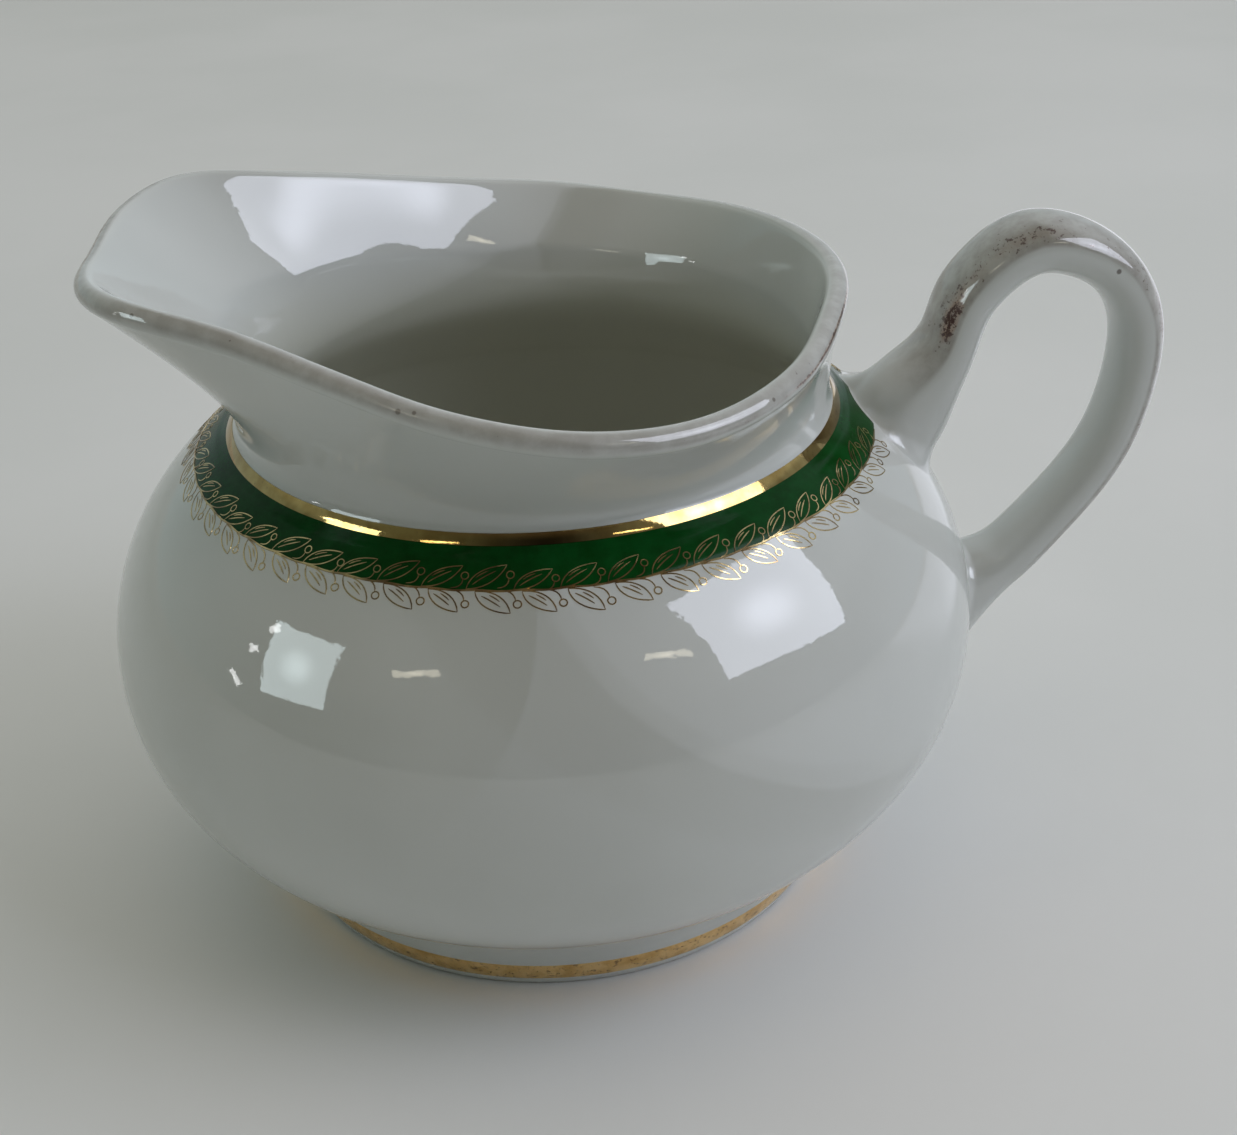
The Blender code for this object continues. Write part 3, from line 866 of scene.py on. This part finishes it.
def build_rim_line(look):
    """The strip over the rim's edge that still carries traces of its gold."""
    degrees = np.linspace(*RIM_STRIP, RIM_STRIP_TURNS)
    turns = np.radians(degrees)
    outer = [rim_point(turn, lift) for turn, lift in zip(turns, worn_lifts(len(turns)))]
    inner = [rim_point(turn, -SUNK) for turn in turns]
    points, faces = ring_shell(outer, inner)
    line = piece("rim_line_worn", points, faces, look, "gilt_rim_line")
    turned = np.repeat(np.concatenate([degrees, degrees[::-1]])[:, None], AROUND, 1)
    azimuth = np.degrees(AZIMUTHS)
    signed = (azimuth + 180.0) % 360.0 - 180.0
    lip = hill(azimuth, *LIP_AROUND, power=4)
    near_handle = hill(signed, *NEAR_HANDLE_AROUND)
    far_side = (signed > FAR_SIDE[0]) & (signed < FAR_SIDE[1])
    edge = (NEAR_HANDLE_KEPT * near_handle + FAR_SIDE_KEPT * far_side) * hill(turned, *RIM_EDGE_TURN)
    film = (FILM_KEPT + LIP_KEPT * lip) * hill(turned, *RIM_FILM_TURN, power=4)
    keep_values(line, "remains", film + edge)


def build_stroke(look):
    """The strip down the handle's back that still carries traces of its gold."""
    turns = np.radians(np.linspace(-STROKE_ANGLE, STROKE_ANGLE, STROKE_TURNS))
    first, last = (int(share * (len(STATIONS) - 1)) for share in STROKE)
    chosen = slice(first, last + 1, 2)
    grid = []
    for station in STATIONS[chosen]:
        over = [section_point(station, a, lift) for a, lift in zip(turns, worn_lifts(len(turns)))]
        under = [section_point(station, a, -SUNK) for a in turns[::-1]]
        grid.append(over + under)
    grid = np.array(grid)
    points, faces = grid.reshape(-1, 3), tube_faces(*grid.shape[:2])
    made = piece("handle_stroke_worn", points, faces, look, "gilt_handle_stroke")
    across = np.concatenate([turns, turns[::-1]])[None, :] / math.radians(STROKE_ANGLE)
    t = STATION_T[chosen][:, None]
    near_end, far_end, side = STROKE_FADES
    fade = np.clip((t - STROKE[0]) / near_end, 0, 1) * np.clip((STROKE[1] - t) / far_end, 0, 1)
    fade = fade * np.clip((1.0 - np.abs(across)) / side, 0, 1)
    ridges = EDGE_KEPT + TOP_KEPT * hill(t, *TOP_ALONG) + BEND_KEPT * hill(t, *BEND_ALONG)
    stroke = fade * (STROKE_KEPT + ridges * hill(np.abs(across), *EDGE_ACROSS))
    stain = STAIN_KEPT * hill(t, *STAIN_ALONG) * hill(across, *STAIN_ACROSS)
    patch = PATCH_KEPT * hill(t, *PATCH_ALONG) * hill(across, *PATCH_ACROSS)
    keep_values(made, "remains", stroke + stain + patch)


# ---------------- materials


# Linear colours; a pair holds the two ends that noise or wear blends
GLAZE_TINTS = ((0.605, 0.62, 0.595), (0.65, 0.665, 0.64))
# Painted shade: a greyer, yellower glaze tint that stands for the shade in the cavity
INSIDE_SHADE_TINT = (0.585, 0.585, 0.50)
BISCUIT_TINTS = ((0.56, 0.53, 0.47), (0.36, 0.33, 0.29))
PINHOLE_TINT = (0.07, 0.05, 0.035)
ENAMEL_TINTS = ((0.0012, 0.040, 0.0035), (0.0022, 0.062, 0.0085))
BRIGHT_GOLD = ((0.40, 0.29, 0.115), (0.30, 0.20, 0.07))
FINE_GOLD = ((0.52, 0.40, 0.20), (0.24, 0.165, 0.085))
RUBBED_GOLD = ((0.90, 0.64, 0.29), (0.66, 0.41, 0.13))
WORN_THROUGH = (0.15, 0.09, 0.05)
FILM_TINTS = ((0.305, 0.28, 0.25), (0.27, 0.14, 0.07))
BROWN_TINTS = ((0.115, 0.075, 0.065), (0.05, 0.014, 0.006))
PAPER_TINTS = ((0.745, 0.75, 0.735), (0.785, 0.785, 0.775))
WHITE = (1.0, 1.0, 1.0)
GLAZE_IOR = 1.52
ENAMEL_SHINE = 0.07

# Scattered pinholes: cells per metre, the few cells that have one, and its edge as a share of a cell
PINHOLE_CELLS = 170.0
PINHOLE_RARE = (0.968, 0.97)
PINHOLE_EDGE = (0.02, 0.06)


class Nodes:
    """A short way to write a node tree."""

    def __init__(self, owner):
        owner.use_nodes = True
        self.tree = owner.node_tree
        self.tree.nodes.clear()

    def add(self, kind, settings=None, **inputs):
        """A new node; an input goes by its name with _ for spaces, or by i and its number."""
        node = self.tree.nodes.new(kind)
        for key, value in (settings or {}).items():
            setattr(node, key, value)
        for key, value in inputs.items():
            socket = node.inputs[int(key[1:])] if key[1:].isdigit() else node.inputs[key.replace("_", " ")]
            if isinstance(value, bpy.types.NodeSocket):
                self.tree.links.new(value, socket)
            else:
                socket.default_value = value
        return node

    def math(self, operation, *values):
        numbered = {f"i{k}": value for k, value in enumerate(values)}
        return self.add("ShaderNodeMath", {"operation": operation}, **numbered).outputs[0]

    def ramp(self, value, low, high):
        """0 below low, 1 above high, smooth between."""
        settings = {"interpolation_type": "SMOOTHSTEP"}
        node = self.add("ShaderNodeMapRange", settings, i0=value, i1=low, i2=high, i3=0.0, i4=1.0)
        return node.outputs[0]

    def fall(self, value, low, high):
        """1 below low, 0 above high, smooth between."""
        return self.math("SUBTRACT", 1.0, self.ramp(value, low, high))

    def mix(self, factor, a, b):
        """A colour between a and b."""
        node = self.add("ShaderNodeMix", {"data_type": "RGBA"}, i0=factor, i6=a, i7=b)
        return node.outputs[2]

    def between(self, tints, value, low, high):
        """The first tint where the value is below low, the second where it is above high."""
        return self.mix(self.ramp(value, low, high), *(colour(tint) for tint in tints))

    def place(self):
        return self.add("ShaderNodeTexCoord").outputs["Object"]

    def noise(self, scale, detail, roughness=0.5):
        """Noise from 0 to 1 with so many waves per metre."""
        settings = {"Scale": scale, "Detail": detail, "Roughness": roughness}
        return self.add("ShaderNodeTexNoise", None, Vector=self.place(), **settings).outputs["Fac"]

    def stored(self, name):
        """A value that keep_values stored on the mesh."""
        return self.add("ShaderNodeAttribute", {"attribute_name": name}).outputs["Fac"]

    def ray(self, kind):
        return self.add("ShaderNodeLightPath").outputs[kind]

    def bump(self, height, strength, distance):
        node = self.add("ShaderNodeBump", None, Height=height, Strength=strength, Distance=distance)
        return node.outputs[0]

    def surface(self, **finish):
        return self.add("ShaderNodeBsdfPrincipled", None, **finish).outputs[0]

    def glow(self, tint, strength=1.0, kind="ShaderNodeEmission"):
        return self.add(kind, None, Color=tint, Strength=strength).outputs[0]

    def blend(self, factor, a, b):
        """A shader between a and b."""
        return self.add("ShaderNodeMixShader", None, i0=factor, i1=a, i2=b).outputs[0]

    def output(self, shader, kind="ShaderNodeOutputMaterial"):
        self.add(kind, None, Surface=shader)


def colour(tint):
    return (*tint, 1.0)


def pinholes(n):
    """1 in the dark pinholes of the glaze, both the scattered ones and those in PINHOLES."""
    where = n.place()
    cells = n.add("ShaderNodeTexVoronoi", {"feature": "F1"}, Vector=where, Scale=PINHOLE_CELLS)
    chance = n.add("ShaderNodeSeparateColor", None, Color=cells.outputs["Color"]).outputs[0]
    near = n.fall(cells.outputs["Distance"], *PINHOLE_EDGE)
    dots = n.math("MULTIPLY", near, n.ramp(chance, *PINHOLE_RARE))
    for x, y, z, reach in PINHOLES:
        middle = (x * MM + AXIS_X, y * MM, z * MM)
        apart = n.add("ShaderNodeVectorMath", {"operation": "DISTANCE"}, i0=where, i1=middle)
        hole = n.fall(apart.outputs["Value"], 0.5 * reach * MM, reach * MM)
        dots = n.math("MAXIMUM", dots, hole)
    return dots


def glaze_parts(n):
    """Colour, roughness and bump of the clear glaze over white porcelain."""
    tint = n.between(GLAZE_TINTS, n.noise(28.0, 3.0), 0.35, 0.65)
    tint = n.mix(n.math("MULTIPLY", pinholes(n), 0.8), tint, colour(PINHOLE_TINT))
    rough = n.math("MULTIPLY_ADD", n.noise(60.0, 4.0), 0.03, 0.015)
    waves = n.math("MULTIPLY", n.noise(75.0, 1.0), 0.00022)
    height = n.math("MULTIPLY_ADD", n.noise(750.0, 2.0), 0.000026, waves)
    return tint, rough, n.bump(height, 0.35, 1.0)


def glaze_material():
    """Clear glaze on porcelain, with painted shade inside as a greyer, yellower tint, and bare biscuit where
    the foot stands.
    """
    made = bpy.data.materials.new("glazed_porcelain")
    n = Nodes(made)
    tint, rough, bump = glaze_parts(n)
    # Painted shade inside the jug, mixed in where the inside mask is set
    tint = n.mix(n.math("MULTIPLY", n.stored("inside"), 0.8), tint, colour(INSIDE_SHADE_TINT))
    height = n.add("ShaderNodeSeparateXYZ", None, Vector=n.place()).outputs[2]
    ragged = n.math("MULTIPLY_ADD", n.noise(400.0, 2.0), 0.0003, height)
    bare = n.fall(ragged, BARE_FOOT_Z * MM, BARE_FOOT_Z * MM + 0.0002)
    biscuit = n.between(BISCUIT_TINTS, n.noise(900.0, 4.0), 0.4, 0.7)
    dull = n.math("MULTIPLY_ADD", bare, 0.75, rough)
    shade = n.mix(bare, tint, biscuit)
    n.output(n.surface(Base_Color=shade, Roughness=dull, IOR=GLAZE_IOR, Normal=bump))
    return made


def enamel_material():
    made = bpy.data.materials.new("green_enamel")
    n = Nodes(made)
    tint = n.between(ENAMEL_TINTS, n.noise(420.0, 4.0, 0.6), 0.3, 0.7)
    rough = n.math("MULTIPLY_ADD", n.noise(700.0, 3.0), 0.12, 0.1)
    bump = n.bump(n.noise(1400.0, 2.0), 0.25, 0.00003)
    n.output(n.surface(Base_Color=tint, Roughness=rough, Specular_IOR_Level=ENAMEL_SHINE, Normal=bump))
    return made


def gold_material(name, tints, polish, rub):
    """Fired gold between two colours: polish is its roughness, rub how much of it is worn thin."""
    made = bpy.data.materials.new(name)
    n = Nodes(made)
    worn = n.ramp(n.noise(1500.0, 5.0, 0.65), 0.62 - rub, 0.72 - rub * 0.6)
    tint = n.between(tints, n.noise(500.0, 4.0), 0.35, 0.7)
    tint = n.mix(n.math("MULTIPLY", worn, 0.75), tint, colour(WORN_THROUGH))
    rough = n.math("MULTIPLY_ADD", n.noise(1100.0, 4.0), 0.08, polish)
    dull = n.math("MULTIPLY_ADD", worn, 0.15, rough)
    matt = n.math("MULTIPLY", n.ray("Is Diffuse Ray"), 0.8)
    spread = n.math("MAXIMUM", dull, matt)
    bump = n.bump(n.noise(1800.0, 3.0), 0.2, 0.00002)
    n.output(n.surface(Base_Color=tint, Metallic=1.0, Roughness=spread, Normal=bump))
    return made


def worn_material():
    """Bare glaze with what is left of rubbed gold, more of it where the mesh says so."""
    made = bpy.data.materials.new("worn_gold")
    n = Nodes(made)
    tint, rough, bump = glaze_parts(n)
    kept = n.stored("remains")
    cloud, fine = n.noise(520.0, 4.0, 0.6), n.noise(2100.0, 4.0, 0.65)
    patchy = n.math("MULTIPLY_ADD", n.ramp(cloud, 0.3, 0.66), 0.4, 0.6)
    stain = n.math("MULTIPLY", patchy, n.ramp(kept, 0.0, 0.3))
    film = n.between(FILM_TINTS, kept, 0.4, 0.62)
    veiled = n.mix(n.math("MULTIPLY", stain, 0.8), tint, film)
    grain = n.math("MULTIPLY_ADD", fine, 0.75, n.math("MULTIPLY", cloud, 0.45))
    speck = n.ramp(n.math("MULTIPLY_ADD", kept, 0.47, grain), 0.865, 0.96)
    shade = n.mix(speck, veiled, n.between(BROWN_TINTS, kept, 0.45, 0.7))
    dull = n.math("MULTIPLY_ADD", speck, 0.3, rough)
    metal = n.math("MULTIPLY", speck, 0.3)
    n.output(n.surface(Base_Color=shade, Metallic=metal, Roughness=dull, IOR=GLAZE_IOR, Normal=bump))
    return made


def paper_material():
    """Pale paper that fades into the backdrop, with a sunny part that only reflections show."""
    made = bpy.data.materials.new("table_paper")
    made.cycles.emission_sampling = "NONE"
    n = Nodes(made)
    tint = n.between(PAPER_TINTS, n.noise(9.0, 5.0), 0.35, 0.65)
    bump = n.bump(n.noise(700.0, 4.0), 0.1, 0.0001)
    paper = n.surface(Base_Color=tint, Roughness=0.7, Normal=bump)
    place = n.place()
    apart = n.add("ShaderNodeVectorMath", {"operation": "LENGTH"}, i0=place).outputs["Value"]
    x, y, _ = n.add("ShaderNodeSeparateXYZ", None, Vector=place).outputs[:3]
    sunny = n.math("MULTIPLY", n.ramp(x, *SUNNY_X), n.ramp(y, *SUNNY_Y))
    mirrored = n.math("MULTIPLY", sunny, n.ray("Is Glossy Ray"))
    near = n.blend(mirrored, paper, n.glow(colour(SUNNY)))
    n.output(n.blend(n.ramp(apart, *TABLE_FADES), near, n.glow(colour(BACKDROP))))
    return made


# ---------------- stage, lights and camera

# Table: half its side, how far it lies under the foot, and where it fades into the backdrop
TABLE_HALF = 9.0
TABLE_GAP = 0.00004
TABLE_FADES = (0.6, 1.9)
BACKDROP = (0.47, 0.48, 0.46)

# Sunny part of the table outside the picture, seen only in reflections
SUNNY = (1.0, 1.03, 1.10)
SUNNY_X = (0.100, 0.125)
SUNNY_Y = (0.0, 0.06)

# Lamps hang at one distance from a point on the jug's axis; the middle of each shines brighter
LIGHT_DISTANCE = 0.9
LIGHT_AIM_Z = 0.045
HOT_MIDDLE = (0.03, 0.34)
HOT_GAIN = 0.55
HOT_BASE = 0.85

# Windows and lamps: azimuth, elevation, width, height, roll, radiance in reflections and on surfaces, colour
LIGHTS = (
    ("right_window", -20.4, 36.0, 0.60, 0.52, -16.0, 6.6, 3.0, (0.93, 0.97, 1.13)),
    ("left_window", -160.6, 23.2, 0.30, 0.36, 17.0, 6.4, 0.3, (0.88, 1.03, 1.06)),
    ("right_strip", -55.1, 39.6, 0.175, 0.036, -22.0, 6.0, 0.3, (1.0, 0.92, 0.72)),
    ("left_strip", -129.6, 37.1, 0.17, 0.036, 23.0, 6.0, 0.3, (1.0, 0.92, 0.72)),
    ("side_lamp_high", -173.9, 28.2, 0.06, 0.035, 60.0, 9.0, 0.3, (1.0, 1.0, 1.0)),
    ("side_lamp_middle", -174.7, 19.4, 0.05, 0.035, 40.0, 9.0, 0.3, (1.0, 1.0, 1.0)),
    ("side_lamp_low", -174.6, 8.0, 0.03, 0.08, 62.0, 9.0, 0.3, (1.0, 1.0, 1.0)),
)

# Room light: from above, and for each azimuth in degrees from high walls and from low ones; a wall's light
# ends a quarter turn divided by WALL_FOCUS to either side
CEILING = (0.66, 0.575, 0.46)
CEILING_MIRRORED = (0.15, 0.125, 0.10)
CEILING_REACH = (0.72, 0.95)
WALLS_MEET = (0.30, 0.48)
WALL_FOCUS = 1.5
WALLS = (
    (-150, (0.19, 0.21, 0.17), (0.04, 0.07, 0.05)),
    (-90, (0.02, 0.02, 0.02), (0.015, 0.015, 0.013)),
    (-30, (0.32, 0.345, 0.33), (0.03, 0.045, 0.04)),
    (30, (0.78, 0.855, 0.91), (0.475, 0.54, 0.58)),
    (90, (0.70, 0.775, 0.82), (0.565, 0.635, 0.66)),
    (150, (0.49, 0.575, 0.56), (0.39, 0.48, 0.49)),
)


def build_table():
    mesh = bpy.data.meshes.new("table")
    half = TABLE_HALF
    corners = [(-half, -half, 0.0), (half, -half, 0.0), (half, half, 0.0), (-half, half, 0.0)]
    mesh.from_pydata(corners, [], [(0, 1, 2, 3)])
    mesh.materials.append(paper_material())
    table = bpy.data.objects.new("table", mesh)
    table.location.z = -TABLE_GAP
    bpy.context.scene.collection.objects.link(table)


def room_light(n):
    """Colour of the room in the direction a ray looks."""
    seen_from = n.add("ShaderNodeNewGeometry").outputs["Incoming"]
    ray = n.add("ShaderNodeVectorMath", {"operation": "SCALE"}, i0=seen_from, Scale=-1.0).outputs[0]
    x, y, z = n.add("ShaderNodeSeparateXYZ", None, Vector=ray).outputs[:3]
    azimuth = n.math("ARCTAN2", y, x)
    upper = n.ramp(z, *WALLS_MEET)
    total = (0.0, 0.0, 0.0)
    for degrees, high, low in WALLS:
        turn = n.math("SUBTRACT", azimuth, math.radians(degrees))
        apart = n.math("ABSOLUTE", n.math("WRAP", turn, math.pi, -math.pi))
        slope = n.math("MINIMUM", n.math("MULTIPLY", apart, WALL_FOCUS), math.pi / 2)
        lobe = n.math("COSINE", slope)
        wall = n.mix(upper, colour(low), colour(high))
        share = n.math("MULTIPLY", lobe, lobe)
        settings = {"operation": "MULTIPLY_ADD"}
        total = n.add("ShaderNodeVectorMath", settings, i0=wall, i1=share, i2=total).outputs[0]
    ceiling = n.mix(n.ray("Is Glossy Ray"), colour(CEILING), colour(CEILING_MIRRORED))
    return n.mix(n.ramp(z, *CEILING_REACH), total, ceiling)


def build_world():
    """The room for what it lights and what reflects it, the plain backdrop for the camera."""
    world = bpy.data.worlds.new("room")
    bpy.context.scene.world = world
    n = Nodes(world)
    room = n.glow(room_light(n), kind="ShaderNodeBackground")
    backdrop = n.glow(colour(BACKDROP), kind="ShaderNodeBackground")
    n.output(n.blend(n.ray("Is Camera Ray"), room, backdrop), "ShaderNodeOutputWorld")


def area_lamp(name, size, radiance, tint, place):
    data = bpy.data.lights.new(name, "AREA")
    data.shape = "RECTANGLE"
    data.size, data.size_y = size
    data.energy = radiance * math.pi * size[0] * size[1]
    data.color = tint
    lamp = bpy.data.objects.new(name, data)
    lamp.matrix_world = place
    lamp.visible_camera = False
    bpy.context.scene.collection.objects.link(lamp)
    return lamp


def hot_middle(lamp):
    """Make a lamp brighter towards its middle."""
    n = Nodes(lamp.data)
    place = n.add("ShaderNodeNewGeometry").outputs["Parametric"]
    u, v, _ = n.add("ShaderNodeSeparateXYZ", None, Vector=place).outputs[:3]
    across, up = n.math("SUBTRACT", u, 0.5), n.math("SUBTRACT", v, 0.5)
    square = n.math("MULTIPLY_ADD", across, across, n.math("MULTIPLY", up, up))
    middle = n.fall(n.math("SQRT", square), *HOT_MIDDLE)
    strength = n.math("MULTIPLY_ADD", middle, HOT_GAIN, HOT_BASE)
    n.output(n.glow(colour(WHITE), strength), "ShaderNodeOutputLight")


def build_lights():
    """Each window once for what it lights and once for what reflects it."""
    target = Vector((AXIS_X, 0.0, LIGHT_AIM_Z))
    for name, azimuth, elevation, width, height, roll, mirrored, cast, tint in LIGHTS:
        a, e = math.radians(azimuth), math.radians(elevation)
        towards = Vector((math.cos(a) * math.cos(e), math.sin(a) * math.cos(e), math.sin(e)))
        facing = (-towards).to_track_quat("-Z", "Y").to_matrix().to_4x4()
        place = Matrix.Translation(target + towards * LIGHT_DISTANCE)
        place = place @ facing @ Matrix.Rotation(math.radians(roll), 4, "Z")
        shine = area_lamp(name + "_shine", (width, height), mirrored, tint, place)
        shine.visible_diffuse = False
        hot_middle(shine)
        area_lamp(name + "_light", (width, height), cast, tint, place).visible_glossy = False


# Camera: place and aim from the jug's axis, roll in degrees, lens for a sensor 36 mm wide
CAMERA_AT = (-0.957, -178.519, 131.622)
CAMERA_AIM = (8.399, 0.0, 32.737)
CAMERA_ROLL = -2.2355
CAMERA_SENSOR = 36.0
CAMERA_LENS = 52.3848
CAMERA_CLIP = (0.005, 20.0)


def build_camera():
    data = bpy.data.cameras.new("camera")
    data.sensor_width, data.lens = CAMERA_SENSOR, CAMERA_LENS
    data.clip_start, data.clip_end = CAMERA_CLIP
    camera = bpy.data.objects.new("camera", data)
    shift = Vector((AXIS_X, 0.0, 0.0))
    place, aim = Vector(CAMERA_AT) * MM + shift, Vector(CAMERA_AIM) * MM + shift
    facing = (aim - place).to_track_quat("-Z", "Y").to_matrix().to_4x4()
    roll = Matrix.Rotation(math.radians(CAMERA_ROLL), 4, "Z")
    camera.matrix_world = Matrix.Translation(place) @ facing @ roll
    bpy.context.scene.collection.objects.link(camera)
    bpy.context.scene.camera = camera


# ---------------- assembly

glaze = glaze_material()
worn = worn_material()
body_tree = build_body(glaze)
handle_tree, lines, upper, lower = build_handle(body_tree, glaze)
trees = (body_tree, handle_tree)
build_fillet("upper_slip_fillet", "upper_handle_slip", lines, upper, UPPER_SLIP, 1, trees, glaze)
build_fillet("lower_slip_fillet", "lower_handle_slip", lines, lower, LOWER_SLIP, -1, trees, glaze)
cutter = root_cutter()
build_band(cutter, enamel_material())
build_neck_line(cutter, gold_material("bright_gold", BRIGHT_GOLD, 0.015, 0.0))
bpy.data.objects.remove(cutter)
build_wreath(gold_material("fine_gold", FINE_GOLD, 0.045, 0.05))
build_foot_line(gold_material("rubbed_gold", RUBBED_GOLD, 0.18, 0.09))
build_rim_line(worn)
build_stroke(worn)
build_table()
build_world()
build_lights()
build_camera()

view_settings = bpy.context.scene.view_settings
view_settings.view_transform = "Standard"
view_settings.look = "None"
